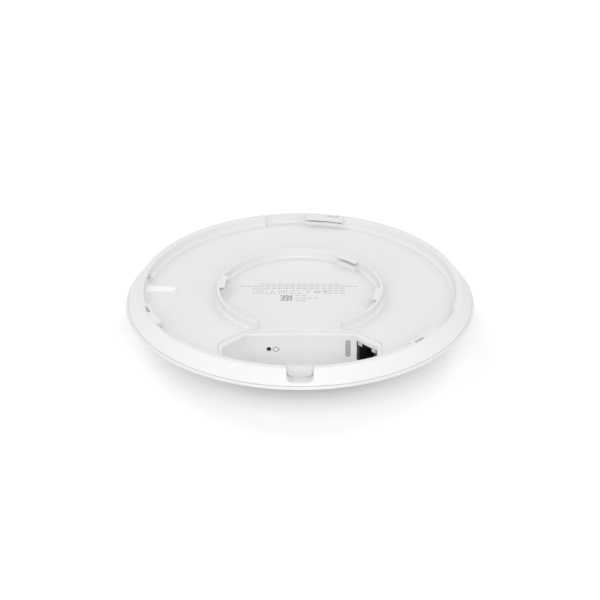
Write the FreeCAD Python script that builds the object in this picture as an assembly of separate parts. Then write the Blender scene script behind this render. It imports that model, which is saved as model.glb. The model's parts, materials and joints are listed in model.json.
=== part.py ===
import FreeCAD, Part
import math
import os

from FreeCAD import Vector

# Ceiling access point, lying face down: the domed face is at z = 0 and the
# ceiling side looks up (+Z). The axis of the round body is the Z axis, and
# the cable pocket is on the -Y side. All sizes are in millimetres.

# ---- outside body -------------------------------------------------------
face_flat_r = 38.0          # flat middle of the domed face
dome_bend_r = 84.0          # radius of the bend between flat and cone
cone_slope = 30.0           # slope of the outer part of the dome, degrees
cone_start_r = face_flat_r + dome_bend_r * math.sin(math.radians(cone_slope))
lip_r = 103.0               # widest point of the body
cover_wall = 1.8
lip_z = (dome_bend_r * (1.0 - math.cos(math.radians(cone_slope)))
         + (lip_r - cone_start_r) * math.tan(math.radians(cone_slope)))
seam_r = 101.9              # where cover and casing meet
seam_z = lip_z + 1.34
rim_z = lip_z + 9.9         # flat top of the rim, against the ceiling
rim_outer_r = 95.8
rim_inner_r = 92.4
flank_wall = 2.0
floor_drop = 5.8            # recess floor below the rim
floor_z = rim_z - floor_drop
floor_wall = 2.0
recess_r = 91.8             # recess wall at the floor
floor_round = 2.0           # inside corner of the recess
rim_round = 0.6
ring_round = 0.4
seam_round = 0.35
rim_back_r = 95.0           # hidden side of the recess wall
edge_r = 96.4               # inner side of the cover's thick edge

# ---- bracket fittings on the ceiling side -------------------------------
slot_angles = (77.2, 197.2, 317.2)
slot_half = 2.3
slot_r = (92.2, 94.0)
tab_from = -4.2
tab_to = 10.7
tab_inner_r = 90.4
tab_thick = 2.3
lug_gap = 1.8               # height of the groove a bracket lug turns into
lug_stop = 0.4              # closed end of the groove, degrees
entry_to = 26.3
entry_r = 94.3
ring_r = (47.5, 49.3)
ring_drop = 0.2             # ring top below the rim
ring_gap = 60.0             # open part of the ring, degrees
ring_foot = 1.5             # rounding where the ring meets the floor
foot_gap = 68.0
ring_tabs = ((42.4, 59.6), (162.4, 179.6), (341.4, 358.9))
ring_tab_r = 44.4
ring_tab_thick = 0.9
ring_tab_gap = 1.8
strip_angle = 175.3
strip_r = (73.8, 92.2)
strip_wide = 5.6
strip_high = 0.9
strip_seat = 0.3            # how deep the strip is let into the floor
notch_angles = (166.3, 170.9)
notch_r = 94.0
notch_high = 3.6

# ---- cable pocket -------------------------------------------------------
pocket_back_y = -46.0
pocket_fold_x = 31.1
pocket_side_x = 44.3
pocket_wall = 1.6
pocket_floor_z = 7.2
pocket_floor_wall = 1.2
step_back_y = -42.6
step_fold_x = 32.6
step_side_x = 47.2
step_deep = 0.8
ledge_bevel = 0.5           # sloped edge between the step's ledge and the pocket
far_y = -98.0
cover_gap = 0.2

# ---- cable exit in the rim ----------------------------------------------
exit_wide = 15.3
exit_shelf_z = lip_z + 3.0
exit_corner = 3.0
exit_block_half = 11.5      # solid rim round the cable exit
exit_inner_r = 89.3
blank_front_y = -93.7
blank_thick = 2.6
blank_corner = 4.4
tongue = 0.6
tongue_inset = 0.3
tongue_groove = 0.9
fit_gap = 0.1
over = 1.0                  # how far a cutting tool overshoots

# ---- snap hooks between cover and casing --------------------------------
hook_angles = (0, 60, 120, 180, 240, 300)
hook_half = 3.0             # half width, degrees
hook_stem = 1.0
hook_barb = 0.5
hook_low_z = lip_z - 2.4
hook_z = (seam_z + 1.5, seam_z + 2.4)
ledge_r = (96.6, 99.2)
ledge_z = (seam_z + 0.5, seam_z + 1.4)
ledge_half = 4.0

# ---- reset button -------------------------------------------------------
reset_x = -18.0
reset_z = rim_z - 16.3
reset_hole_r = 1.45
plunger_r = 1.25
plunger_fit = 0.05
plunger_recess = 1.0
plunger_long = 2.8
plunger_stop = 0.4
switch_side = 6.2
switch_deep = 3.6
switch_gap = 0.5
bracket_thick = 0.5
bracket_foot = 3.5

# ---- network jack -------------------------------------------------------
jack_wide = 16.2
jack_high = 12.7
jack_deep = 17.0
jack_along = 10.4           # jack centre along the slanted wall
jack_top_z = rim_z - 9.6
jack_turn = -45.0
jack_sheet = 0.35
port_wide = 11.9
port_deep = 13.0
port_floor = 1.3
port_roof = 2.8
key_wide = 6.4
key_roof = 1.0
window_wide = 3.1
window_high = 2.0
window_side = 1.1
window_top = 0.5
window_deep = 12.0
contact_count = 8
contact_pitch = 1.02
contact_wide = 0.4
contact_outline = ((3.0, 0.0), (12.6, 0.0), (12.6, 0.3), (4.2, 0.3), (10.9, 2.9), (10.8, 3.2), (3.0, 0.35))
jack_face_gap = 0.1         # housing and windows behind the shell's front edge

# ---- inside stack -------------------------------------------------------
board_wall = 1.6
board_z = jack_top_z
board_r = 84.0
board_gap = 0.7
spreader_z = 16.5
spreader_wall = 1.5
spreader_r = 78.0
spreader_gap = 8.0
post_angles = (0.0, 50.0, 130.0, 180.0, 210.0, 330.0)
post_ring_r = 70.0
post_r = 2.5
post_shoulder_r = 4.0
post_root = 0.5             # how far a post is rooted in what carries it
post_tip_gap = 0.05
post_hole_gap = 0.1
screw_r = 1.47
screw_hole_r = 1.5
screw_pass_r = 1.62
screw_head_r = 2.8
screw_head_high = 1.7
screw_tip_z = floor_z - floor_wall - 1.0
screw_hole_top_z = floor_z - 1.0
drive_deep = 0.9
drive_wide = 0.8
drive_long = 3.6
spacer_r = (2.6, 3.9)
jack_clear = 1.0
fin_count = 7
fin_pitch = 6.0
fin_thick = 1.6
fin_y = (-2.0, 30.0)
fin_deep = 2.0

# ---- light ring on the face ---------------------------------------------
light_r = (18.2, 20.0)
light_flange_r = (16.2, 22.6)
light_flange = 1.2
light_board_r = (11.0, 31.0)
light_board_z = 4.8
light_board_wall = 1.2
led_count = 8
led_side = 3.0
light_post_r = 2.4
light_post_ring_r = 27.0
light_post_angles = (60.0, 180.0, 300.0)
small_screw_r = 0.97
small_hole_r = 1.0
small_head_r = 2.0
small_head_high = 1.2
small_hole_gap = 0.2
small_hole_floor = 0.4
small_drive = (0.6, 2.4)
board_screw_long = 3.2
antenna_screw_long = 3.0

# ---- ribbon between the light board and the main board ------------------
ribbon_wide = 6.0
ribbon_thick = 0.3
ribbon_in_x = 26.5
ribbon_out_x = 31.0
ribbon_slot = (3.0, 9.0)
socket_high = 1.6
socket_deep = 4.0
socket_half = 4.0

# ---- parts on the main board --------------------------------------------
can_high = 3.2
can_sheet = 0.3
processor_can = (-2.0, 12.0, 44.0, 34.0)
radio_can_side = 24.0
radio_centres = ((40.0, 18.0), (-40.0, 18.0), (0.0, 50.0))
processor_pad_size = (36.0, 26.0)
radio_pad_side = 18.0
# chips under the board: x, y, width, length, height
processor_chip = (-9.0, 12.0, 19.0, 19.0, 1.4)
memory_chip_list = ((13.0, 5.0, 12.0, 9.0, 1.1), (13.0, 19.0, 12.0, 9.0, 1.1))
radio_chip_size = (12.0, 12.0, 1.2)
flash_chip_size = (0.0, -11.0, 8.0, 6.0, 1.0)
power_chip_size = (-46.0, -12.0, 7.0, 7.0, 1.0)
crystal_size = (18.0, -10.0, 3.2, 2.5, 0.8)
dimple_r = 0.5
dimple_deep = 0.15
dimple_inset = 1.2
# wound and tall parts near the jack
magnetics = (36.0, -22.0, 15.0, 11.0)
magnetics_high = 5.6
magnetics_legs = 6
magnetics_leg_pitch = 2.5
leg_wide = 0.8
leg_reach = 3.0
leg_high = 0.3
transformer_xy = (8.0, -24.0)
transformer_core = (17.0, 9.0)
transformer_bobbin = (13.0, 15.0)
transformer_high = 5.8
transformer_foot = 0.8
transformer_pin_y = 6.5
inductor_x = -10.0
inductor_ys = (-19.0, -29.0)
inductor_side = 7.0
inductor_high = 3.2
inductor_eye = (2.2, 0.4)   # radius and depth of the round dip
capacitor_x = -31.0
capacitor_ys = (-12.0, -22.0, -32.0)
capacitor_r = 4.0
capacitor_high = 5.6
capacitor_foot = (8.3, 0.6)

# ---- antennas under the heat spreader -----------------------------------
antenna_sheet = 0.5
antenna_high = 6.0
antenna_r = (62.0, 72.0)
antenna_leg_r = 66.5
antenna_foot_end_r = 75.0
antenna_screw_ring_r = 71.0
antenna_pin_ring_r = 63.2
antenna_pin_r = 0.6
antenna_pin_hole_r = 1.8
antenna_leg_half = 3.0
antenna_foot_half = 3.5
antenna_slit = (64.4, 65.2)
antenna_slit_end = 3.0
antenna_sets = (("antennas_low", 30.0, (25.0, 155.0)),
                ("antennas_mid", 18.0, (75.0, 105.0)),
                ("antennas_high", 13.0, (345.0, 195.0)))

full_turn = 360.0
origin = Vector(0, 0, 0)
up = Vector(0, 0, 1)


def box(x0, x1, y0, y1, z0, z1):
    return Part.makeBox(x1 - x0, y1 - y0, z1 - z0, Vector(x0, y0, z0))


def block(x, y, wide, long, z0, z1):
    return box(x - wide / 2, x + wide / 2, y - long / 2, y + long / 2, z0, z1)


def rod(x, y, z0, z1, r):
    return Part.makeCylinder(r, z1 - z0, Vector(x, y, z0), up)


def tube(x, y, z0, z1, r_in, r_out):
    return rod(x, y, z0, z1, r_out).cut(rod(x, y, z0, z1, r_in))


def prism(points, z0, z1):
    corners = [Vector(x, y, z0) for x, y in points]
    return Part.Face(Part.makePolygon(corners + corners[:1])).extrude(Vector(0, 0, z1 - z0))


def spin(edges, start=0.0, sweep=full_turn):
    """Turn a closed section in the XZ plane round the Z axis."""
    solid = Part.Face(Part.Wire(edges)).revolve(origin, up, sweep)
    solid.rotate(origin, up, start)
    return Part.Solid(solid) if solid.ShapeType == "Shell" else solid


def rounded(corners):
    """Closed section through (radius, height, rounding) corners."""
    turns = []
    for i, (r, z, rounding) in enumerate(corners):
        here = Vector(r, 0, z)
        back = Vector(corners[i - 1][0], 0, corners[i - 1][1]) - here
        ahead = corners[(i + 1) % len(corners)]
        ahead = Vector(ahead[0], 0, ahead[1]) - here
        half = back.getAngle(ahead) / 2
        back.normalize()
        ahead.normalize()
        reach = rounding / math.tan(half)
        middle = here
        if rounding:
            inward = back + ahead
            inward.normalize()
            middle = here + inward * (rounding / math.sin(half) - rounding)
        turns.append((here + back * reach, middle, here + ahead * reach, rounding))
    edges = []
    for i, (start, middle, end, rounding) in enumerate(turns):
        if rounding:
            edges.append(Part.Arc(start, middle, end).toShape())
        edges.append(Part.makeLine(end, turns[(i + 1) % len(turns)][0]))
    return edges


def lines(points):
    corners = [Vector(r, 0, z) for r, z in points]
    return Part.makePolygon(corners + corners[:1]).Edges


def sector(r0, r1, z0, z1, a0, a1):
    return spin(lines([(r0, z0), (r1, z0), (r1, z1), (r0, z1)]), a0, a1 - a0)


def turned(shape, angle):
    copy = shape.copy()
    copy.rotate(origin, up, angle)
    return copy


def at_angle(r, angle):
    return r * math.cos(math.radians(angle)), r * math.sin(math.radians(angle))


def save(name, solids):
    """Write one named piece; identical pieces go in the same file."""
    shapes = solids if isinstance(solids, list) else [solids]
    flat = []
    for shape in shapes:
        flat.extend(shape.removeSplitter().Solids)
    out = flat[0] if len(flat) == 1 else Part.makeCompound(flat)
    out.exportStep("parts/" + name + ".step")
    print(name, len(flat), "valid" if out.isValid() else "NOT VALID", round(out.Volume, 1))


def dome_edges(offset, end_r, top_z):
    """Section of everything above the dome's surface moved inwards by offset."""
    slope = math.radians(cone_slope)
    bend = dome_bend_r - offset
    half = slope / 2
    flat_end = Vector(face_flat_r, 0, offset)
    middle = Vector(face_flat_r + bend * math.sin(half), 0, dome_bend_r - bend * math.cos(half))
    cone_low = Vector(face_flat_r + bend * math.sin(slope), 0, dome_bend_r - bend * math.cos(slope))
    cone_top = Vector(end_r, 0, cone_low.z + (end_r - cone_low.x) * math.tan(slope))
    return [Part.makeLine(Vector(0, 0, offset), flat_end),
            Part.Arc(flat_end, middle, cone_low).toShape(),
            Part.makeLine(cone_low, cone_top),
            Part.makeLine(cone_top, Vector(end_r, 0, top_z)),
            Part.makeLine(Vector(end_r, 0, top_z), Vector(0, 0, top_z)),
            Part.makeLine(Vector(0, 0, top_z), Vector(0, 0, offset))]


def above_dome(offset, end_r, top_z):
    return spin(dome_edges(offset, end_r, top_z))


pocket_corner_y = pocket_back_y - (pocket_side_x - pocket_fold_x)
half_fold = math.tan(math.radians(22.5))


def pocket_outline(grow):
    """Plan of the deep pocket, grown outwards by the given amount."""
    fold = grow * half_fold
    return [(-pocket_fold_x - fold, pocket_back_y + grow),
            (pocket_fold_x + fold, pocket_back_y + grow),
            (pocket_side_x + grow, pocket_corner_y + fold),
            (pocket_side_x + grow, far_y),
            (-pocket_side_x - grow, far_y),
            (-pocket_side_x - grow, pocket_corner_y + fold)]


def step_outline():
    """Plan of the shallow step round the pocket."""
    corner_y = step_back_y - (step_side_x - step_fold_x)
    return [(-step_fold_x, step_back_y), (step_fold_x, step_back_y), (step_side_x, corner_y),
            (step_side_x, far_y), (-step_side_x, far_y), (-step_side_x, corner_y)]


def wire_at(points, z):
    corners = [Vector(x, y, z) for x, y in points]
    return Part.makePolygon(corners + corners[:1])


def u_shape(wide, low_z, top_z, corner, y0, y1):
    """Upright plate with two round lower corners, looking along Y."""
    half = wide / 2
    nick = corner * (1 - math.sqrt(0.5))
    edges = [Part.makeLine(Vector(-half, y0, top_z), Vector(-half, y0, low_z + corner)),
             Part.Arc(Vector(-half, y0, low_z + corner), Vector(-half + nick, y0, low_z + nick),
                      Vector(-half + corner, y0, low_z)).toShape(),
             Part.makeLine(Vector(-half + corner, y0, low_z), Vector(half - corner, y0, low_z)),
             Part.Arc(Vector(half - corner, y0, low_z), Vector(half - nick, y0, low_z + nick),
                      Vector(half, y0, low_z + corner)).toShape(),
             Part.makeLine(Vector(half, y0, low_z + corner), Vector(half, y0, top_z)),
             Part.makeLine(Vector(half, y0, top_z), Vector(-half, y0, top_z))]
    return Part.Face(Part.Wire(edges)).extrude(Vector(0, y1 - y0, 0))


def in_jack(shape):
    """Move a piece from the jack's own frame into the body."""
    run = math.radians(-jack_turn)
    x = pocket_fold_x + jack_along * math.cos(run)
    y = pocket_back_y - jack_along * math.sin(run)
    copy = shape.copy()
    copy.rotate(origin, up, jack_turn)
    copy.translate(Vector(x, y, jack_top_z))
    return copy


# ---- back casing --------------------------------------------------------
flank_run = seam_r - rim_outer_r
flank_rise = rim_z - seam_z
flank_inner_r = seam_r - flank_wall * math.hypot(flank_run, flank_rise) / flank_rise
flank_meet_z = seam_z + (flank_inner_r - rim_back_r) * flank_rise / flank_run


def casing_shell():
    floor_low = floor_z - floor_wall
    section = [(0, floor_low, 0), (0, floor_z, 0), (recess_r, floor_z, floor_round),
               (rim_inner_r, rim_z, rim_round), (rim_outer_r, rim_z, rim_round),
               (seam_r, seam_z, seam_round), (flank_inner_r, seam_z, 0),
               (rim_back_r, flank_meet_z, 0), (rim_back_r, floor_low, 0)]
    return spin(rounded(section))


def solid_rim():
    """The rim with no hollow behind its flank."""
    section = [(rim_inner_r, seam_z, 0), (seam_r, seam_z, seam_round),
               (rim_outer_r, rim_z, rim_round), (rim_inner_r, rim_z, rim_round)]
    return spin(rounded(section))


def pocket_tub():
    """Outside of the pocket walls, standing inside the body."""
    near_r = recess_r + pocket_wall
    tub = prism(pocket_outline(pocket_wall), pocket_floor_z - pocket_floor_wall, floor_z)
    tub = tub.common(rod(0, 0, 0, rim_z, near_r))
    return tub.common(above_dome(cover_wall + cover_gap, lip_r, rim_z))


def pocket_hollow():
    hollow = prism(pocket_outline(0.0), pocket_floor_z, rim_z)
    hollow = hollow.common(rod(0, 0, 0, rim_z, recess_r))
    skin = cover_wall + cover_gap + pocket_floor_wall
    return hollow.common(above_dome(skin, lip_r, rim_z))


def pocket_step():
    """The shallow step, with a sloped edge down into the pocket."""
    low = floor_z - step_deep
    bevel = Part.makeLoft([wire_at(pocket_outline(0.0), low - ledge_bevel),
                           wire_at(pocket_outline(ledge_bevel), low)], True, True)
    step = prism(step_outline(), low, floor_z).fuse(bevel)
    return step.common(rod(0, 0, 0, floor_z, recess_r))


def footed_ring():
    """The part of the ring with rounded feet, which stops short of the pocket's step."""
    top = rim_z - ring_drop
    low = floor_z - over
    reach = ring_foot + fit_gap
    section = [(ring_r[0] - reach, floor_z, 0), (ring_r[0], floor_z, ring_foot), (ring_r[0], top, ring_round),
               (ring_r[1], top, ring_round), (ring_r[1], floor_z, ring_foot), (ring_r[1] + reach, floor_z, 0),
               (ring_r[1] + reach, low, 0), (ring_r[0] - reach, low, 0)]
    return spin(rounded(section), foot_gap / 2 - full_turn / 4, full_turn - foot_gap)


def bracket_ring():
    top = rim_z - ring_drop
    ring = spin(rounded([(ring_r[0], floor_z, 0), (ring_r[0], top, ring_round),
                         (ring_r[1], top, ring_round), (ring_r[1], floor_z, 0)]),
                ring_gap / 2 - full_turn / 4, full_turn - ring_gap)
    ring = ring.fuse(footed_ring())
    groove_z = top - ring_tab_thick
    for a0, a1 in ring_tabs:
        catch = sector(ring_tab_r, (ring_r[0] + ring_r[1]) / 2, floor_z, top, a0, a1)
        groove = sector(ring_tab_r - over, ring_r[0], groove_z - ring_tab_gap, groove_z,
                        a0 - over, a1 + over)
        ring = ring.fuse(catch).cut(groove)
    return ring


def catch_ledges():
    return [sector(ledge_r[0], ledge_r[1], ledge_z[0], ledge_z[1], angle - ledge_half, angle + ledge_half)
            for angle in hook_angles]


def casing_posts():
    """Screw posts that pass through the main board."""
    posts = []
    for angle in post_angles:
        x, y = at_angle(post_ring_r, angle)
        root_z = floor_z - floor_wall + post_root
        post = rod(x, y, spreader_z + spreader_wall + post_tip_gap, root_z, post_r)
        shoulder = rod(x, y, board_z + board_wall, root_z, post_shoulder_r)
        posts.append(post.fuse(shoulder))
    return posts


def rim_catches(casing):
    """Add the three rim tabs, with a groove, a slot and a lug entry at each."""
    groove_z = rim_z - tab_thick
    entry_in_r = recess_r - floor_round - over
    for angle in slot_angles:
        catch = sector(tab_inner_r, (rim_inner_r + rim_outer_r) / 2, groove_z - lug_gap, rim_z,
                       angle + tab_from, angle + tab_to)
        entry = spin(rounded([(entry_in_r, floor_z, 0), (entry_r, floor_z, floor_round),
                              (entry_r, rim_z, 0), (entry_in_r, rim_z, 0)]),
                     angle + tab_to, entry_to - tab_to)
        groove = sector(tab_inner_r - over, entry_r, groove_z - lug_gap, groove_z,
                        angle + tab_from + lug_stop, angle + tab_to)
        slot = sector(slot_r[0], slot_r[1], groove_z - lug_gap, rim_z,
                      angle - slot_half, angle + slot_half)
        casing = casing.fuse(catch).cut([entry, groove, slot])
    return casing


def back_casing():
    rim = solid_rim()
    exit_block = box(-exit_block_half, exit_block_half, -lip_r, -rim_inner_r + over, seam_z, rim_z)
    casing = casing_shell().fuse([exit_block.common(rim), pocket_tub(), bracket_ring()])
    casing = casing.fuse([ledge.common(rim) for ledge in catch_ledges()])
    casing = casing.fuse(casing_posts())
    casing = rim_catches(casing).cut([pocket_hollow(), pocket_step()])
    for angle in post_angles:
        x, y = at_angle(post_ring_r, angle)
        casing = casing.cut(rod(x, y, spreader_z, screw_hole_top_z, screw_hole_r))
    notch = u_shape(exit_wide, exit_shelf_z, rim_z + over, exit_corner, -lip_r, -exit_inner_r)
    groove = u_shape(exit_wide + 2 * tongue, exit_shelf_z, rim_z + over, exit_corner,
                     blank_front_y + tongue_inset, blank_front_y + tongue_inset + tongue_groove)
    pin_hole = Part.makeCylinder(reset_hole_r, pocket_wall + 2 * over,
                                 Vector(reset_x, pocket_back_y - over, reset_z), Vector(0, 1, 0))
    port = in_jack(box(-jack_wide / 2 - fit_gap, jack_wide / 2 + fit_gap, -over, jack_deep,
                       -jack_high - fit_gap, 0))
    wall_notch = sector(recess_r - floor_round, notch_r, floor_z, floor_z + notch_high, *notch_angles)
    return casing.cut([notch, groove, pin_hole, port, wall_notch, detent_strip()])


def detent_strip():
    """Round-ended strip let into the recess floor."""
    mid_r = strip_r[0] + strip_wide / 2
    low = floor_z - strip_seat
    high = floor_z + strip_high
    bar = box(mid_r, strip_r[1], -strip_wide / 2, strip_wide / 2, low, high)
    return turned(bar.fuse(rod(mid_r, 0, low, high, strip_wide / 2)), strip_angle)


def cable_exit_blank():
    gap = 2 * fit_gap
    plate = u_shape(exit_wide - gap, exit_shelf_z, rim_z, blank_corner,
                    blank_front_y, blank_front_y + blank_thick)
    ears = u_shape(exit_wide + 2 * tongue - gap, exit_shelf_z, rim_z, blank_corner,
                   blank_front_y + tongue_inset + fit_gap,
                   blank_front_y + tongue_inset + tongue_groove - fit_gap)
    return plate.fuse(ears)


# ---- front cover and light ring -----------------------------------------
def front_cover():
    lean = lip_r - seam_r
    trim = spin(lines([(seam_r, seam_z), (lip_r, lip_z), (lip_r + lean, lip_z), (lip_r + lean, seam_z)]))
    body = spin(dome_edges(0.0, lip_r, seam_z)).cut(trim)
    body = body.cut(above_dome(cover_wall, edge_r, seam_z + over))
    body = body.cut(rod(0, 0, -over, cover_wall + over, light_r[1]))
    for angle in hook_angles:
        stem = sector(edge_r - hook_stem, edge_r, hook_low_z, hook_z[1], angle - hook_half, angle + hook_half)
        barb = sector(edge_r, edge_r + hook_barb, hook_z[0], hook_z[1], angle - hook_half, angle + hook_half)
        body = body.fuse([stem, barb])
    for angle in light_post_angles:
        x, y = at_angle(light_post_ring_r, angle)
        body = body.fuse(rod(x, y, cover_wall - post_root, light_board_z, light_post_r))
        body = body.cut(rod(x, y, cover_wall + small_hole_floor, light_board_z, small_hole_r))
    return body


def light_guide():
    ring = tube(0, 0, 0, cover_wall, light_r[0], light_r[1])
    flange = tube(0, 0, cover_wall, cover_wall + light_flange, light_flange_r[0], light_flange_r[1])
    return ring.fuse(flange)


def light_board():
    board = tube(0, 0, light_board_z, light_board_z + light_board_wall, light_board_r[0], light_board_r[1])
    for angle in light_post_angles:
        x, y = at_angle(light_post_ring_r, angle)
        board = board.cut(rod(x, y, 0, rim_z, small_hole_r + small_hole_gap))
    return board


def status_leds():
    ring = (light_flange_r[0] + light_flange_r[1]) / 2
    first = block(ring, 0, led_side, led_side, cover_wall + light_flange, light_board_z)
    return [turned(first, i * full_turn / led_count) for i in range(led_count)]


def small_screw(x, y, seat_z, long, direction):
    """Screw with its head on seat_z and its shank going along direction in z."""
    low = min(seat_z, seat_z + direction * long)
    head_low = min(seat_z, seat_z - direction * small_head_high)
    shank = rod(x, y, low, low + long, small_screw_r)
    head = rod(x, y, head_low, head_low + small_head_high, small_head_r)
    drive_low = head_low if direction > 0 else head_low + small_head_high / 2
    drive = block(x, y, small_drive[0], small_drive[1], drive_low, drive_low + small_head_high / 2)
    return shank.fuse(head).cut(drive)


def light_board_screws():
    top = light_board_z + light_board_wall
    spots = [at_angle(light_post_ring_r, angle) for angle in light_post_angles]
    return [small_screw(x, y, top, board_screw_long, -1) for x, y in spots]


def ribbon_sockets():
    seats = (light_board_z + light_board_wall, board_z - socket_high)
    return [box(ribbon_in_x - socket_deep, ribbon_in_x, -socket_half, socket_half, z, z + socket_high)
            for z in seats]


def light_ribbon():
    low = light_board_z + light_board_wall + socket_high / 2
    high = board_z - socket_high / 2
    half = ribbon_thick / 2
    outline = [(ribbon_in_x, low - half), (ribbon_out_x + half, low - half),
               (ribbon_out_x + half, high + half), (ribbon_in_x, high + half),
               (ribbon_in_x, high - half), (ribbon_out_x - half, high - half),
               (ribbon_out_x - half, low + half), (ribbon_in_x, low + half)]
    corners = [Vector(x, -ribbon_wide / 2, z) for x, z in outline]
    face = Part.Face(Part.makePolygon(corners + corners[:1]))
    return face.extrude(Vector(0, ribbon_wide, 0))


# ---- main board and heat spreader ---------------------------------------
def main_board():
    board = rod(0, 0, board_z, board_z + board_wall, board_r)
    board = board.cut(prism(pocket_outline(pocket_wall + board_gap), 0, rim_z))
    for angle in post_angles:
        x, y = at_angle(post_ring_r, angle)
        board = board.cut(rod(x, y, 0, rim_z, post_r + post_hole_gap))
    return board


def heat_spreader():
    """Aluminium plate with fins, cleared round the pocket, the jack and the ribbon."""
    plate = rod(0, 0, spreader_z, spreader_z + spreader_wall, spreader_r)
    plate = plate.cut(prism(pocket_outline(spreader_gap), 0, rim_z))
    half = jack_wide / 2 + jack_clear
    plate = plate.cut(in_jack(box(-half, half, -over, jack_deep + jack_clear, -jack_top_z, 0)))
    plate = plate.cut(block(ribbon_out_x, 0, ribbon_slot[0], ribbon_slot[1], 0, rim_z))
    holes = [(post_ring_r, angle, screw_pass_r) for angle in post_angles]
    for _, _, angles in antenna_sets:
        holes += [(antenna_pin_ring_r, angle, antenna_pin_hole_r) for angle in angles]
        holes += [(antenna_screw_ring_r, angle, small_hole_r) for angle in angles]
    for ring, angle, r in holes:
        x, y = at_angle(ring, angle)
        plate = plate.cut(rod(x, y, 0, rim_z, r))
    for i in range(fin_count):
        x = (i - (fin_count - 1) / 2) * fin_pitch
        plate = plate.fuse(box(x - fin_thick / 2, x + fin_thick / 2, fin_y[0], fin_y[1],
                               spreader_z - fin_deep, spreader_z))
    return plate


def board_spacers():
    spots = [at_angle(post_ring_r, angle) for angle in post_angles]
    return [tube(x, y, spreader_z + spreader_wall, board_z, spacer_r[0], spacer_r[1]) for x, y in spots]


def chassis_screws():
    screws = []
    for angle in post_angles:
        x, y = at_angle(post_ring_r, angle)
        low = spreader_z - screw_head_high
        screw = rod(x, y, low, spreader_z, screw_head_r).fuse(rod(x, y, spreader_z, screw_tip_z, screw_r))
        drive = block(x, y, drive_wide, drive_long, low, low + drive_deep)
        cross = block(x, y, drive_long, drive_wide, low, low + drive_deep)
        screws.append(screw.cut([drive, cross]))
    return screws


def shield_can(x, y, wide, long):
    low = board_z - can_high
    can = block(x, y, wide, long, low, board_z)
    inner = block(x, y, wide - 2 * can_sheet, long - 2 * can_sheet, low + can_sheet, board_z)
    return can.cut(inner)


def chip(x, y, wide, long, high):
    """Chip under the board, with a small pin-one dimple."""
    low = board_z - high
    body = block(x, y, wide, long, low, board_z)
    inset = min(dimple_inset, wide / 3, long / 3)
    dimple = rod(x - wide / 2 + inset, y - long / 2 + inset, low, low + dimple_deep, dimple_r)
    return body.cut(dimple)


def pad(x, y, wide, long):
    return block(x, y, wide, long, spreader_z + spreader_wall, board_z - can_high)


def ethernet_transformer():
    """Moulded block with a row of legs down each long side."""
    x, y, wide, long = magnetics
    body = block(x, y, wide, long, board_z - magnetics_high, board_z - leg_high)
    for i in range(magnetics_legs):
        leg_x = x + (i - (magnetics_legs - 1) / 2) * magnetics_leg_pitch
        body = body.fuse(block(leg_x, y, leg_wide, long + leg_reach, board_z - leg_high, board_z))
    return body


def power_transformer():
    """Ferrite core closed round a wound bobbin."""
    x, y = transformer_xy
    low = board_z - transformer_high
    high = board_z - transformer_foot
    core = block(x, y, transformer_core[0], transformer_core[1], low, high)
    bobbin = block(x, y, transformer_bobbin[0], transformer_bobbin[1], low + transformer_foot, high)
    pins = [block(x + i * leg_reach, y + side * transformer_pin_y, leg_wide, 2 * leg_wide, high, board_z)
            for i in (-2, -1, 0, 1, 2) for side in (-1, 1)]
    return core.fuse([bobbin] + pins)


def power_inductors():
    low = board_z - inductor_high
    eye_r, eye_deep = inductor_eye
    return [block(inductor_x, y, inductor_side, inductor_side, low, board_z).cut(
        rod(inductor_x, y, low, low + eye_deep, eye_r)) for y in inductor_ys]


def power_capacitors():
    side, foot_high = capacitor_foot
    foot_z = board_z - foot_high
    return [rod(capacitor_x, y, board_z - capacitor_high, foot_z, capacitor_r).fuse(
        block(capacitor_x, y, side, side, foot_z, board_z)) for y in capacitor_ys]


# ---- antennas -----------------------------------------------------------
def antenna(long):
    """Folded sheet radiator hanging under the heat spreader, at angle 0."""
    low = spreader_z - antenna_high
    half = long / 2
    plate = box(antenna_r[0], antenna_r[1], -half, half, low, low + antenna_sheet)
    slit = box(antenna_slit[0], antenna_slit[1], -half, half - antenna_slit_end, low, low + antenna_sheet)
    leg = box(antenna_leg_r, antenna_leg_r + antenna_sheet, -antenna_leg_half, antenna_leg_half,
              low, spreader_z)
    foot = box(antenna_leg_r, antenna_foot_end_r, -antenna_foot_half, antenna_foot_half,
               spreader_z - antenna_sheet, spreader_z)
    hole = rod(antenna_screw_ring_r, 0, 0, rim_z, small_hole_r + fit_gap)
    return plate.cut(slit).fuse([leg, foot]).cut(hole)


def antenna_pins():
    pins = []
    for _, _, angles in antenna_sets:
        for angle in angles:
            x, y = at_angle(antenna_pin_ring_r, angle)
            pins.append(rod(x, y, spreader_z - antenna_high + antenna_sheet, board_z, antenna_pin_r))
    return pins


def antenna_screws():
    screws = []
    for _, _, angles in antenna_sets:
        for angle in angles:
            x, y = at_angle(antenna_screw_ring_r, angle)
            screws.append(small_screw(x, y, spreader_z - antenna_sheet, antenna_screw_long, 1))
    return screws


# ---- reset button -------------------------------------------------------
switch_face_y = pocket_back_y + pocket_wall + switch_gap
plunger_tip_y = pocket_back_y + plunger_recess


def reset_switch_body():
    half = switch_side / 2
    body = box(reset_x - half, reset_x + half, switch_face_y, switch_face_y + switch_deep,
               reset_z - half, reset_z + half)
    bore_deep = plunger_tip_y + plunger_long + plunger_stop - switch_face_y
    bore = Part.makeCylinder(plunger_r + plunger_fit, bore_deep, Vector(reset_x, switch_face_y, reset_z),
                             Vector(0, 1, 0))
    return body.cut(bore)


def reset_plunger():
    return Part.makeCylinder(plunger_r, plunger_long, Vector(reset_x, plunger_tip_y, reset_z),
                             Vector(0, 1, 0))


def reset_switch_bracket():
    half = switch_side / 2
    back = switch_face_y + switch_deep
    upright = box(reset_x - half, reset_x + half, back, back + bracket_thick, reset_z - half, board_z)
    foot = box(reset_x - half, reset_x + half, back, back + bracket_foot, board_z - bracket_thick, board_z)
    return upright.fuse(foot)


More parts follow.
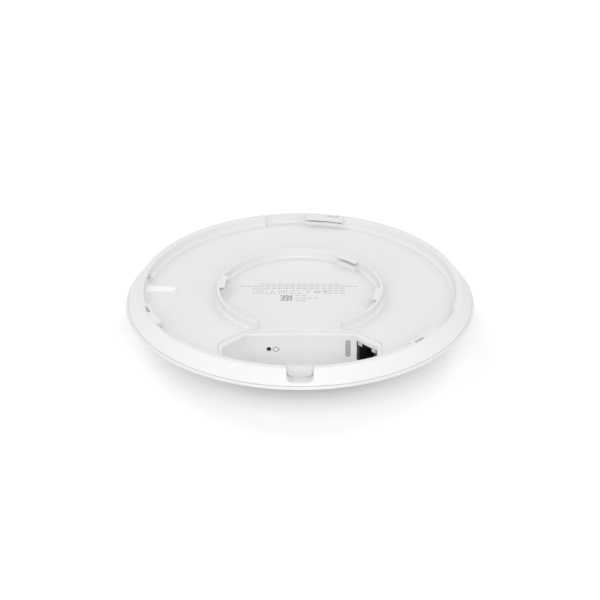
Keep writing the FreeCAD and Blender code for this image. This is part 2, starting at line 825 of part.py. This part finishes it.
# ---- network jack -------------------------------------------------------
def jack_shell():
    half = jack_wide / 2
    outer = box(-half, half, 0, jack_deep, -jack_high, 0)
    inner = box(-half + jack_sheet, half - jack_sheet, -over, jack_deep - jack_sheet,
                -jack_high + jack_sheet, -jack_sheet)
    return in_jack(outer.cut(inner))


def window_box(side, y0, y1):
    half = jack_wide / 2
    x0 = half - window_side - window_wide
    x1 = half - window_side
    if side < 0:
        x0, x1 = -x1, -x0
    return box(x0, x1, y0, y1, -window_top - window_high, -window_top)


def jack_housing():
    half = jack_wide / 2 - jack_sheet
    body = box(-half, half, jack_face_gap, jack_deep - jack_sheet, -jack_high + jack_sheet, -jack_sheet)
    port = box(-port_wide / 2, port_wide / 2, -over, port_deep, -jack_high + port_floor, -port_roof)
    key = box(-key_wide / 2, key_wide / 2, -over, port_deep, -port_roof - over, -key_roof)
    windows = [window_box(side, -over, window_deep) for side in (-1, 1)]
    return in_jack(body.cut([port, key] + windows))


def jack_windows():
    return [in_jack(window_box(side, jack_face_gap, window_deep)) for side in (-1, 1)]


def jack_contacts():
    """Eight sprung wires lying on the port's floor and rising to the back."""
    low = -jack_high + port_floor
    wires = []
    for i in range(contact_count):
        x = (i - (contact_count - 1) / 2) * contact_pitch - contact_wide / 2
        corners = [Vector(x, y, low + z) for y, z in contact_outline]
        face = Part.Face(Part.makePolygon(corners + corners[:1]))
        wires.append(in_jack(face.extrude(Vector(contact_wide, 0, 0))))
    return wires


os.makedirs("parts", exist_ok=True)
save("back_casing", back_casing())
save("detent_strip", detent_strip())
save("cable_exit_blank", cable_exit_blank())
save("front_cover", front_cover())
save("centre_cap", rod(0, 0, 0, cover_wall, light_r[0]))
save("light_guide", light_guide())
save("light_board", light_board())
save("light_board_screws", light_board_screws())
save("status_leds", status_leds())
save("ribbon_sockets", ribbon_sockets())
save("light_ribbon", light_ribbon())
save("main_board", main_board())
save("heat_spreader", heat_spreader())
save("board_spacers", board_spacers())
save("chassis_screws", chassis_screws())
save("processor_shield", shield_can(*processor_can))
save("radio_shields", [shield_can(x, y, radio_can_side, radio_can_side) for x, y in radio_centres])
save("processor_pad", pad(processor_can[0], processor_can[1], processor_pad_size[0], processor_pad_size[1]))
save("radio_pads", [pad(x, y, radio_pad_side, radio_pad_side) for x, y in radio_centres])
save("processor", chip(*processor_chip))
save("memory_chips", [chip(*size) for size in memory_chip_list])
save("radio_chips", [chip(x, y, *radio_chip_size) for x, y in radio_centres])
save("flash_chip", chip(*flash_chip_size))
save("power_chip", chip(*power_chip_size))
save("clock_crystal", chip(*crystal_size))
save("ethernet_transformer", ethernet_transformer())
save("power_transformer", power_transformer())
save("power_inductors", power_inductors())
save("power_capacitors", power_capacitors())
for set_name, long, angles in antenna_sets:
    save(set_name, [turned(antenna(long), angle) for angle in angles])
save("antenna_pins", antenna_pins())
save("antenna_screws", antenna_screws())
save("reset_switch_body", reset_switch_body())
save("reset_plunger", reset_plunger())
save("reset_switch_bracket", reset_switch_bracket())
save("jack_shell", jack_shell())
save("jack_housing", jack_housing())
save("jack_windows", jack_windows())
save("jack_contacts", jack_contacts())
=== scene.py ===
import json
import math

import bmesh
import bpy
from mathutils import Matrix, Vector


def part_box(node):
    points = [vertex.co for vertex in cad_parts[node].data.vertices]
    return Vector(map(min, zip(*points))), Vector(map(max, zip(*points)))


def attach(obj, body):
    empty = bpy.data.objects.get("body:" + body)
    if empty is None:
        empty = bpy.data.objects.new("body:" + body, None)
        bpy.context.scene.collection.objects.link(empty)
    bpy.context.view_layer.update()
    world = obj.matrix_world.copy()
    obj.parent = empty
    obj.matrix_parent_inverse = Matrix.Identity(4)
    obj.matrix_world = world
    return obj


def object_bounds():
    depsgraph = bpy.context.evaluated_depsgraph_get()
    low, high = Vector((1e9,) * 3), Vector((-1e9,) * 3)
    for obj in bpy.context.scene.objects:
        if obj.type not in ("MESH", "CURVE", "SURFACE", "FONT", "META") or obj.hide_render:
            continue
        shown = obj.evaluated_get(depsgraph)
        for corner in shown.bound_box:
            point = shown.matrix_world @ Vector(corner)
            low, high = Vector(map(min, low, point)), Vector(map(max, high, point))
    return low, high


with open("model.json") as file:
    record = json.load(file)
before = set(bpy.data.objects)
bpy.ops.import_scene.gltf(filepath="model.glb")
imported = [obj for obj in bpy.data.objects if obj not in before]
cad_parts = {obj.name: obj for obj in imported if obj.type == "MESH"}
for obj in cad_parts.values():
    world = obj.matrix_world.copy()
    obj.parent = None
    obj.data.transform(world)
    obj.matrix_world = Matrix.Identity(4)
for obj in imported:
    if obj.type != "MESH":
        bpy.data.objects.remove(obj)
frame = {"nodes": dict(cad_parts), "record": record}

# Ceiling access point lying face down, as packed. Lengths are in metres
# unless a comment says otherwise. The cable pocket is on the -Y side.

mm = 0.001
cad_low, cad_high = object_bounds()
nodes = frame["nodes"]
mounts = {mount["name"]: mount for mount in frame["record"]["mounts"]}
hole_centre = Vector(mounts["reset_hole"]["pos_m"])
strip_let_in = 0.3 * mm
recess_floor_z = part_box("detent_strip")[0][2] + strip_let_in

# ---- view ---------------------------------------------------------------
view_elevation = 28.878     # degrees above the horizon
view_distance = 1.6017
view_lens = 161.95          # millimetres
view_sensor = 36.0          # millimetres
view_target = Vector((0.0, 0.6 * mm, 25.0 * mm))
view_clip = (0.01, 40.0)

# ---- studio -------------------------------------------------------------
floor_half = 6.0
floor_cells = 8
floor_shades = ((0.95, 0.95, 0.95), (0.965, 0.965, 0.965))
floor_glow = 0.065          # the floor is a light table, faintly lit from below
sky_colour = (1.0, 1.0, 1.0)
sky_strength = 0.56
lamp_distance = 2.6
lamp_size = 1.4
# name, degrees round from the camera side, elevation, watts
lamps = (
    ("front_soft_box", 0.0, 24.0, 19.6),
    ("front_high_soft_box", 0.0, 45.0, 9.0),
    ("left_low_soft_box", -60.0, 20.0, 9.3),
    ("right_low_soft_box", 60.0, 20.0, 6.8),
    ("left_soft_box", -75.0, 45.0, 1.6),
    ("right_soft_box", 75.0, 45.0, 2.4),
    ("far_left_soft_box", -135.0, 45.0, 14.4),
    ("far_right_soft_box", 135.0, 45.0, 12.0),
)

# ---- finishes -----------------------------------------------------------
casing_white = (0.735, 0.744, 0.740)
cover_white = (0.690, 0.702, 0.708)
# the strip's white is partly its own glossier plastic and partly a painted highlight, brighter than
# the casing
strip_white_and_painted_highlight = (0.866, 0.871, 0.892)
blank_grey = (0.655, 0.661, 0.655)
ink_grey = (0.330, 0.330, 0.335)
icon_grey = (0.460, 0.460, 0.465)
pill_grey = (0.360, 0.365, 0.372)
pill_light = (0.520, 0.525, 0.530)
mark_grey = (0.240, 0.243, 0.248)
grain_scale = 3800.0        # moulded grain, features of about a quarter of a millimetre
edge_soften = 0.12 * mm
# painted light in the cable pocket: the casing's colour is made lighter on the deep walls to stand
# in for light reaching them; the values below set where
pocket_painted_light = 1.11          # painted light: the deep part of the pocket is painted this much lighter
pocket_edge = 6.0 * mm      # depth below the recess floor at the middle of the change
pocket_blend = 4.5 * mm     # half the depth of the change
pocket_reach = 94.0 * mm    # radius where it ends
reach_blend = 0.3 * mm      # half the width of that end
noise_range = (0.3, 0.7)    # most of a noise texture's values lie in here

# ---- printed marks, in millimetres --------------------------------------
ink_thick = 0.02
row_pitch = 2.6
row_top_y = 13.7
row_half_widths = (23.6, 34.9, 27.7)
letter_wide = 0.34
letter_pitch = 0.62
letter_high = 1.25
short_letter = 0.72         # height of a short stroke, as a share of a tall one
first_group = 4             # strokes in a row's first group
icon_y = 3.9
icon_half = 2.1             # half the height of an icon
icon_line = 0.45
icon_ring_x = -26.0
icon_spot = (10.4, 1.9, 1.0)    # x, radius and line of the thick ring
icon_bars = (-12.8, 1.5, 4)     # left edge, pitch and count
bar_line = 1.2 * icon_line
# left edge, then the stroke's corners from there and from the row's foot
icon_strokes = (
    (-22.6, ((0.0, 0.0), (2.8, 0.0), (2.8, 4.2), (0.0, 4.2), (0.0, 0.0))),
    (-18.0, ((0.0, 0.0), (3.4, 0.0), (1.7, 4.0), (0.0, 0.0))),
    (-5.8, ((0.0, 0.3), (6.4, 0.3), (4.6, 3.8), (1.8, 3.8), (0.0, 0.3))),
    (3.0, ((0.0, 3.8), (3.4, 3.8))),
    (4.7, ((0.0, 0.0), (0.0, 3.8))),
)
# x, height over the row's middle, width, height and corner radius
icon_blots = ((14.9, 0.8, 2.6, 2.2, 0.5), (15.4, -1.6, 1.5, 1.2, 0.4))
block_corner = (-11.6, -7.05)
block_cell = 0.78
block_cells = 9
note_left = -2.6
note_rows = ((-0.4, 6.5), (-3.7, 14.2), (-6.8, 6.5))
side_note_left = 16.9
side_note_rows = ((5.6, 11.0), (2.5, 10.2))
pill_centre = (27.8, 0.5)   # x, and height over the reset hole's centre
pill_size = (2.9, 10.9)
pill_corner = 0.9
pill_mark_size = (1.5, 0.7)
pill_mark_from = 1.2        # first mark over the pill's foot
pill_mark_pitch = 1.8
pill_mark_count = 5
reset_mark_x = -14.0
reset_mark_r = 1.65
reset_mark_line = 0.42
reset_mark_arc = (25.0, 335.0)
reset_mark_arrow = ((1.0, 0.4), (1.6, -0.5), (2.4, 0.3))    # from the arc's centre
corner_steps = 6            # sides of a rounded corner
ring_steps = 32             # sides of a ring


# ---- node helpers -------------------------------------------------------
# sockets of a mix node that mixes colours
mix_first = 6
mix_second = 7
mix_result = 2


class Finish:
    """One node material, built from noise in the object's own metres."""

    def __init__(self, name, metallic=0.0):
        self.material = bpy.data.materials.new(name)
        self.material.use_nodes = True
        self.tree = self.material.node_tree
        self.shader = self.tree.nodes["Principled BSDF"]
        self.shader.inputs["Metallic"].default_value = metallic
        self.place = self.tree.nodes.new("ShaderNodeTexCoord").outputs["Object"]

    def add(self, kind, **values):
        node = self.tree.nodes.new(kind)
        for name, value in values.items():
            setattr(node, name, value)
        return node

    def join(self, source, target):
        self.tree.links.new(source, target)

    def stretched(self, stretch):
        mapping = self.add("ShaderNodeMapping")
        mapping.inputs["Scale"].default_value = stretch
        self.join(self.place, mapping.inputs["Vector"])
        return mapping.outputs["Vector"]

    def noise(self, scale, detail=2.0, stretch=None):
        node = self.add("ShaderNodeTexNoise")
        node.inputs["Scale"].default_value = scale
        node.inputs["Detail"].default_value = detail
        self.join(self.stretched(stretch) if stretch else self.place, node.inputs["Vector"])
        return node.outputs["Fac"]

    def cells(self, scale):
        node = self.add("ShaderNodeTexVoronoi")
        node.inputs["Scale"].default_value = scale
        self.join(self.place, node.inputs["Vector"])
        return node.outputs["Distance"]

    def between(self, value, low, high):
        node = self.add("ShaderNodeMapRange")
        node.inputs["From Min"].default_value = noise_range[0]
        node.inputs["From Max"].default_value = noise_range[1]
        node.inputs["To Min"].default_value = low
        node.inputs["To Max"].default_value = high
        self.join(value, node.inputs["Value"])
        return node.outputs["Result"]

    def step(self, value, edge, width):
        node = self.add("ShaderNodeMapRange", interpolation_type="SMOOTHSTEP")
        node.inputs["From Min"].default_value = edge - width
        node.inputs["From Max"].default_value = edge + width
        self.join(value, node.inputs["Value"])
        return node.outputs["Result"]

    def mix(self, factor, first, second):
        node = self.add("ShaderNodeMix", data_type="RGBA")
        self.join(factor, node.inputs["Factor"])
        for socket, colour in ((node.inputs[mix_first], first), (node.inputs[mix_second], second)):
            if isinstance(colour, tuple):
                socket.default_value = (*colour, 1.0)
            else:
                self.join(colour, socket)
        return node.outputs[mix_result]

    def paint_pocket_light(self, colour):
        """Paint light into a colour: lighten it gradually with depth below the recess floor, inside
        the rim.
        """
        place = self.add("ShaderNodeSeparateXYZ")
        self.join(self.place, place.inputs["Vector"])
        radius = self.add("ShaderNodeVectorMath", operation="LENGTH")
        self.join(self.stretched((1.0, 1.0, 0.0)), radius.inputs[0])
        above = self.step(place.outputs["Z"], recess_floor_z - pocket_edge, pocket_blend)
        beyond = self.step(radius.outputs["Value"], pocket_reach, reach_blend)
        painted_light = self.add("ShaderNodeVectorMath", operation="SCALE")
        painted_light.inputs["Scale"].default_value = pocket_painted_light
        self.join(colour, painted_light.inputs[0])
        return self.mix(beyond, self.mix(above, painted_light.outputs["Vector"], colour), colour)

    def colour(self, value):
        self.join(value, self.shader.inputs["Base Color"])

    def rough(self, value):
        self.join(value, self.shader.inputs["Roughness"])

    def relief(self, height, depth, soften=0.0):
        """Bump the surface by depth metres, with edges softened by a small radius."""
        bump = self.add("ShaderNodeBump")
        bump.inputs["Strength"].default_value = 1.0
        bump.inputs["Distance"].default_value = depth
        self.join(height, bump.inputs["Height"])
        if soften:
            bevel = self.add("ShaderNodeBevel", samples=6)
            bevel.inputs["Radius"].default_value = soften
            self.join(bevel.outputs["Normal"], bump.inputs["Normal"])
        self.join(bump.outputs["Normal"], self.shader.inputs["Normal"])

    def set(self, **values):
        for name, value in values.items():
            self.shader.inputs[name.replace("_", " ")].default_value = value
        return self.material


def tinted(colour, factor):
    return tuple(min(1.0, channel * factor) for channel in colour)


# ---- finishes by kind ---------------------------------------------------
def moulded(name, colour, roughness=0.48, soften=edge_soften, has_painted_pocket_light=False):
    """Moulded plastic: even colour with faint flow marks and a fine matt grain, with painted light
    deep in the pocket when asked.
    """
    finish = Finish(name)
    flow = finish.between(finish.noise(scale=28.0, detail=3.0), low=0.0, high=1.0)
    speck = finish.between(finish.noise(scale=1600.0, detail=1.0), low=0.0, high=0.12)
    broad = finish.mix(flow, tinted(colour, 0.988), tinted(colour, 1.012))
    fine = finish.mix(speck, broad, tinted(colour, 0.93))
    # painted light: the colour is made lighter deep in the cable pocket
    finish.colour(finish.paint_pocket_light(fine) if has_painted_pocket_light else fine)
    gloss = finish.noise(scale=420.0, detail=2.0)
    finish.rough(finish.between(gloss, low=roughness - 0.05, high=roughness + 0.05))
    finish.relief(finish.noise(grain_scale, detail=2.0), depth=0.006 * mm, soften=soften)
    return finish.material


def glossy(name, colour, roughness=0.22):
    """Smooth moulded plastic with faint ripples."""
    finish = Finish(name)
    flow = finish.between(finish.noise(scale=60.0, detail=2.0), low=0.0, high=1.0)
    finish.colour(finish.mix(flow, tinted(colour, 0.985), tinted(colour, 1.01)))
    gloss = finish.noise(scale=300.0, detail=2.0)
    finish.rough(finish.between(gloss, low=roughness - 0.04, high=roughness + 0.06))
    finish.relief(finish.noise(scale=900.0, detail=1.0), depth=0.003 * mm, soften=edge_soften)
    return finish.material


def brushed(name, colour, roughness=0.32, stretch=(1.0, 60.0, 60.0)):
    """Rolled or brushed metal with fine lines, along X unless stretch says otherwise."""
    finish = Finish(name, metallic=1.0)
    lines = finish.noise(scale=90.0, detail=4.0, stretch=stretch)
    stain = finish.between(finish.noise(scale=140.0, detail=3.0), low=0.0, high=1.0)
    finish.colour(finish.mix(stain, tinted(colour, 0.9), tinted(colour, 1.06)))
    finish.rough(finish.between(lines, low=roughness - 0.08, high=roughness + 0.12))
    finish.relief(lines, depth=0.004 * mm)
    return finish.material


def cast(name, colour):
    """Sand-blasted cast metal."""
    finish = Finish(name, metallic=1.0)
    stain = finish.between(finish.noise(scale=90.0, detail=4.0), low=0.0, high=1.0)
    finish.colour(finish.mix(stain, tinted(colour, 0.88), colour))
    finish.rough(finish.between(finish.noise(scale=700.0, detail=2.0), low=0.45, high=0.62))
    finish.relief(finish.cells(scale=1500.0), depth=0.02 * mm)
    return finish.material


def epoxy(name, colour, roughness=0.55):
    """Chip package or ferrite: dark, slightly grainy."""
    finish = Finish(name)
    grain = finish.between(finish.noise(scale=2500.0, detail=2.0), low=0.0, high=1.0)
    finish.colour(finish.mix(grain, colour, tinted(colour, 1.6)))
    gloss = finish.noise(scale=900.0, detail=2.0)
    finish.rough(finish.between(gloss, low=roughness - 0.08, high=roughness + 0.08))
    finish.relief(finish.noise(scale=5000.0, detail=2.0), depth=0.008 * mm)
    return finish.material


def circuit(name, mask, copper):
    """Solder mask over copper tracks and vias."""
    finish = Finish(name)
    tracks = finish.add("ShaderNodeTexBrick", offset=0.5)
    tracks.inputs["Scale"].default_value = 160.0
    tracks.inputs["Mortar Size"].default_value = 0.035
    tracks.inputs["Mortar Smooth"].default_value = 0.2
    finish.join(finish.place, tracks.inputs["Vector"])
    areas = finish.step(finish.noise(scale=45.0, detail=1.0), edge=0.52, width=0.02)
    vias = finish.step(finish.cells(scale=330.0), edge=0.12, width=0.02)
    base = finish.mix(areas, mask, tinted(mask, 1.5))
    tracked = finish.mix(tracks.outputs["Fac"], base, copper)
    finish.colour(finish.mix(vias, via_tin, tracked))
    finish.rough(finish.between(finish.noise(scale=500.0, detail=2.0), low=0.28, high=0.42))
    finish.relief(tracks.outputs["Fac"], depth=0.02 * mm)
    return finish.material


def rubbery(name, colour):
    """Soft thermal pad with a dry, dimpled surface."""
    finish = Finish(name)
    grain = finish.between(finish.noise(scale=700.0, detail=3.0), low=0.0, high=1.0)
    finish.colour(finish.mix(grain, colour, tinted(colour, 1.2)))
    finish.rough(finish.between(finish.noise(scale=300.0, detail=2.0), low=0.75, high=0.92))
    finish.relief(finish.cells(scale=1300.0), depth=0.05 * mm)
    return finish.material


def clear_guide(name, colour, transmission, roughness):
    """Milky light guide."""
    finish = Finish(name)
    haze = finish.noise(scale=260.0, detail=3.0)
    finish.colour(finish.mix(finish.between(haze, low=0.0, high=1.0), tinted(colour, 0.93), colour))
    finish.rough(finish.between(haze, low=roughness - 0.06, high=roughness + 0.1))
    finish.relief(finish.noise(scale=1800.0, detail=1.0), depth=0.004 * mm)
    return finish.set(Transmission_Weight=transmission, IOR=1.49)


def printed(name, colour):
    """Printed ink with faint uneven cover."""
    finish = Finish(name)
    cover = finish.between(finish.noise(scale=5200.0, detail=2.0), low=0.0, high=0.35)
    finish.colour(finish.mix(cover, colour, tinted(colour, 1.35)))
    finish.rough(finish.between(finish.noise(scale=900.0, detail=1.0), low=0.5, high=0.62))
    finish.relief(finish.noise(scale=4200.0, detail=1.0), depth=0.004 * mm)
    return finish.material


via_tin = (0.55, 0.5, 0.38)
steel = (0.62, 0.62, 0.63)
tin = (0.70, 0.70, 0.69)
gold = (0.83, 0.60, 0.24)
black = (0.014, 0.014, 0.015)


def finishes():
    """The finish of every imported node, by its slot name."""
    made = {
        "back_casing": moulded("back_casing", casing_white, has_painted_pocket_light=True),
        "front_cover": moulded("front_cover", cover_white, 0.42),
        "centre_cap": moulded("centre_cap", cover_white, 0.42),
        # the detent strip's lighter colour is partly a painted highlight
        "detent_strip": glossy("detent_strip", strip_white_and_painted_highlight),
        "cable_exit_blank": moulded("cable_exit_blank", blank_grey, 0.5),
        "light_guide": clear_guide("light_guide", (0.86, 0.9, 0.95), 0.35, 0.35),
        "light_board": circuit("light_board", (0.62, 0.63, 0.62), (0.7, 0.71, 0.69)),
        "status_leds": glossy("status_leds", (0.86, 0.78, 0.42), 0.3),
        "ribbon_sockets": moulded("ribbon_sockets", (0.62, 0.58, 0.48), 0.5, soften=0.0),
        "light_ribbon": glossy("light_ribbon", (0.72, 0.74, 0.76), 0.3),
        "main_board": circuit("main_board", (0.012, 0.075, 0.045), (0.03, 0.16, 0.085)),
        "heat_spreader": cast("heat_spreader", (0.66, 0.66, 0.67)),
        "board_spacers": brushed("board_spacers", (0.72, 0.58, 0.32)),
        "jack_shell": brushed("jack_shell", (0.56, 0.56, 0.57), 0.34, (40.0, 40.0, 1.0)),
        "jack_housing": epoxy("jack_housing", black, 0.42),
        "jack_windows": clear_guide("jack_windows", (0.80, 0.82, 0.80), 0.3, 0.3),
        "jack_contacts": brushed("jack_contacts", gold, 0.25),
        "clock_crystal": brushed("clock_crystal", steel, 0.25),
        "power_capacitors": brushed("power_capacitors", (0.6, 0.6, 0.61), 0.35),
        "power_inductors": epoxy("power_inductors", (0.06, 0.06, 0.06), 0.6),
        "power_transformer": epoxy("power_transformer", (0.035, 0.032, 0.03), 0.5),
        "ethernet_transformer": epoxy("ethernet_transformer", black),
        "reset_switch_body": epoxy("reset_switch_body", (0.03, 0.03, 0.032)),
        "reset_plunger": epoxy("reset_plunger", black, 0.6),
        "reset_switch_bracket": brushed("reset_switch_bracket", tin),
    }
    for name in ("processor_shield", "radio_shields"):
        made[name] = brushed(name, tin, 0.3)
    for name in ("processor_pad", "radio_pads"):
        made[name] = rubbery(name, (0.30, 0.36, 0.44))
    for name in ("processor", "memory_chips", "radio_chips", "flash_chip", "power_chip"):
        made[name] = epoxy(name, black)
    for name in ("antennas_low", "antennas_mid", "antennas_high"):
        made[name] = brushed(name, (0.66, 0.64, 0.6), 0.28)
    for name in ("chassis_screws", "light_board_screws", "antenna_screws", "antenna_pins"):
        made[name] = brushed(name, (0.6, 0.6, 0.58), 0.3)
    return made


def dress_nodes():
    made = finishes()
    for name, node in nodes.items():
        for slot in node.material_slots:
            slot.material = made[name]


# ---- printed marks ------------------------------------------------------
def bar(x, y, wide, high):
    """Outline of an upright bar from its lower left corner."""
    return [(x, y), (x + wide, y), (x + wide, y + high), (x, y + high)]


def arc(x, y, r, start, end, count):
    angles = [math.radians(start + (end - start) * i / count) for i in range(count + 1)]
    return [(x + r * math.cos(a), y + r * math.sin(a)) for a in angles]


def ring(x, y, r, line, start=0.0, end=360.0):
    """A round stroke as a row of four-sided outlines."""
    inner = arc(x, y, r - line, start, end, ring_steps)
    outer = arc(x, y, r, start, end, ring_steps)
    return [[inner[i], outer[i], outer[i + 1], inner[i + 1]] for i in range(ring_steps)]


def stroke(points, line):
    """Straight strokes of one width through points."""
    made = []
    for (x0, y0), (x1, y1) in zip(points, points[1:]):
        along = math.hypot(x1 - x0, y1 - y0)
        nx = -(y1 - y0) / along * line / 2
        ny = (x1 - x0) / along * line / 2
        made.append([(x0 - nx, y0 - ny), (x1 - nx, y1 - ny), (x1 + nx, y1 + ny), (x0 + nx, y0 + ny)])
    return made


def rounded_bar(x, y, wide, high, r):
    """Outline of a bar with round corners, about its centre."""
    outline = []
    for quarter, (sx, sy) in enumerate(((1, 1), (-1, 1), (-1, -1), (1, -1))):
        centre = (x + sx * (wide / 2 - r), y + sy * (high / 2 - r))
        outline += arc(*centre, r, 90.0 * quarter, 90.0 * quarter + 90.0, corner_steps)
    return outline


def blank_words(left, wide, y, high):
    """A row of small plain strokes in groups of 3 to 8, with a tall one at every fourth place."""
    made = []
    group = first_group
    run = 0
    for i in range(int(wide / letter_pitch)):
        run += 1
        if run > group:
            run = 0
            group = 3 + (i * 5) % 6
            continue
        tall = high if i % 4 == 0 else high * short_letter
        made.append(bar(left + i * letter_pitch, y - high / 2, letter_wide, tall))
    return made


def text_rows():
    made = []
    for i, half in enumerate(row_half_widths):
        made += blank_words(-half, 2 * half, row_top_y - i * row_pitch, letter_high)
    for y, wide in note_rows:
        made += blank_words(note_left, wide, y, letter_high)
    for y, wide in side_note_rows:
        made += blank_words(side_note_left, wide, y, letter_high)
    return made


def icon_row():
    """Plain shapes: rings, a square, a triangle, bars, a tray, a tee and two blots."""
    low = icon_y - icon_half
    made = ring(icon_ring_x, icon_y, icon_half, icon_line)
    for left, corners in icon_strokes:
        made += stroke([(left + x, low + y) for x, y in corners], icon_line)
    left, pitch, count = icon_bars
    made += [bar(left + i * pitch, low, bar_line, 2 * icon_half) for i in range(count)]
    x, r, line = icon_spot
    made += ring(x, icon_y, r, line)
    made += [rounded_bar(x, icon_y + over, wide, high, r) for x, over, wide, high, r in icon_blots]
    return made


def cell_block():
    """A plain chequer of cells that holds no code."""
    left, low = block_corner
    made = []
    for row in range(block_cells):
        for column in range(block_cells):
            if (row * column + row + 2 * column) % 3 == 1 or (row + column) % 4 == 0:
                x = left + column * block_cell
                y = low + row * block_cell
                made.append(bar(x, y, block_cell, block_cell))
    return made


def lay(name, outlines, place, finish, lift=0.0):
    """Turn flat outlines into thin ink on a surface; place takes (u, v, height)."""
    mesh = bmesh.new()
    for outline in outlines:
        low = [mesh.verts.new(place(u, v, lift)) for u, v in outline]
        high = [mesh.verts.new(place(u, v, lift + ink_thick)) for u, v in outline]
        mesh.faces.new(high)
        mesh.faces.new(low[::-1])
        for i in range(len(low)):
            ahead = (i + 1) % len(low)
            mesh.faces.new((low[i], low[ahead], high[ahead], high[i]))
    bmesh.ops.recalc_face_normals(mesh, faces=mesh.faces)
    data = bpy.data.meshes.new(name)
    mesh.to_mesh(data)
    mesh.free()
    data.materials.append(finish)
    piece = bpy.data.objects.new(name, data)
    bpy.context.scene.collection.objects.link(piece)
    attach(piece, "housing")


def on_recess_floor(u, v, height):
    return Vector((u * mm, v * mm, recess_floor_z + height * mm))


def on_pocket_wall(u, v, height):
    return Vector((u * mm, hole_centre.y - height * mm, hole_centre.z + v * mm))


def printed_marks():
    ink = printed("grey_ink", ink_grey)
    icons = printed("icon_ink", icon_grey)
    pill = printed("pill_ink", pill_grey)
    light = printed("pill_mark_ink", pill_light)
    lay("print_rows", text_rows(), on_recess_floor, ink)
    lay("print_icons", icon_row(), on_recess_floor, icons)
    lay("print_block", cell_block(), on_recess_floor, ink)
    x, v = pill_centre
    wide, high = pill_size
    lay("port_pill", [rounded_bar(x, v, wide, high, pill_corner)], on_pocket_wall, pill)
    left = x - pill_mark_size[0] / 2
    first = v - high / 2 + pill_mark_from
    marks = [bar(left, first + i * pill_mark_pitch, *pill_mark_size) for i in range(pill_mark_count)]
    lay("port_pill_marks", marks, on_pocket_wall, light, lift=ink_thick)
    reset = ring(reset_mark_x, 0.0, reset_mark_r, reset_mark_line, *reset_mark_arc)
    reset += stroke([(reset_mark_x + x, y) for x, y in reset_mark_arrow], reset_mark_line)
    lay("reset_mark", reset, on_pocket_wall, printed("reset_mark_ink", mark_grey))


# ---- studio -------------------------------------------------------------
def towards(azimuth, elevation):
    """Direction from the target; azimuth 0 is the camera's side."""
    a = math.radians(azimuth)
    e = math.radians(elevation)
    return Vector((math.sin(a) * math.cos(e), -math.cos(a) * math.cos(e), math.sin(e)))


def aim(thing, place, target):
    thing.location = place
    thing.rotation_euler = (target - place).to_track_quat("-Z", "Y").to_euler()


def studio_floor():
    mesh = bmesh.new()
    bmesh.ops.create_grid(mesh, x_segments=floor_cells, y_segments=floor_cells, size=floor_half)
    data = bpy.data.meshes.new("studio_floor")
    mesh.to_mesh(data)
    mesh.free()
    finish = Finish("studio_floor")
    finish.colour(finish.mix(finish.noise(scale=1.2), *floor_shades))
    finish.relief(finish.noise(scale=600.0), depth=0.01 * mm)
    finish.set(Roughness=0.9, Emission_Color=(*sky_colour, 1.0), Emission_Strength=floor_glow)
    data.materials.append(finish.material)
    floor = bpy.data.objects.new("studio_floor", data)
    floor.location = (0.0, 0.0, cad_low[2])
    bpy.context.scene.collection.objects.link(floor)


def studio_light():
    world = bpy.data.worlds.new("studio")
    world.use_nodes = True
    sky = world.node_tree.nodes["Background"]
    sky.inputs["Color"].default_value = (*sky_colour, 1.0)
    sky.inputs["Strength"].default_value = sky_strength
    bpy.context.scene.world = world
    for name, azimuth, elevation, power in lamps:
        data = bpy.data.lights.new(name, "AREA")
        data.shape = "SQUARE"
        data.size = lamp_size
        data.energy = power
        lamp = bpy.data.objects.new(name, data)
        bpy.context.scene.collection.objects.link(lamp)
        aim(lamp, view_target + towards(azimuth, elevation) * lamp_distance, view_target)


def studio_camera():
    data = bpy.data.cameras.new("camera")
    data.lens = view_lens
    data.sensor_width = view_sensor
    data.clip_start = view_clip[0]
    data.clip_end = view_clip[1]
    camera = bpy.data.objects.new("camera", data)
    bpy.context.scene.collection.objects.link(camera)
    aim(camera, view_target + towards(0.0, view_elevation) * view_distance, view_target)
    bpy.context.scene.camera = camera


dress_nodes()
printed_marks()
studio_floor()
studio_light()
studio_camera()
bpy.context.scene.view_settings.view_transform = "Standard"
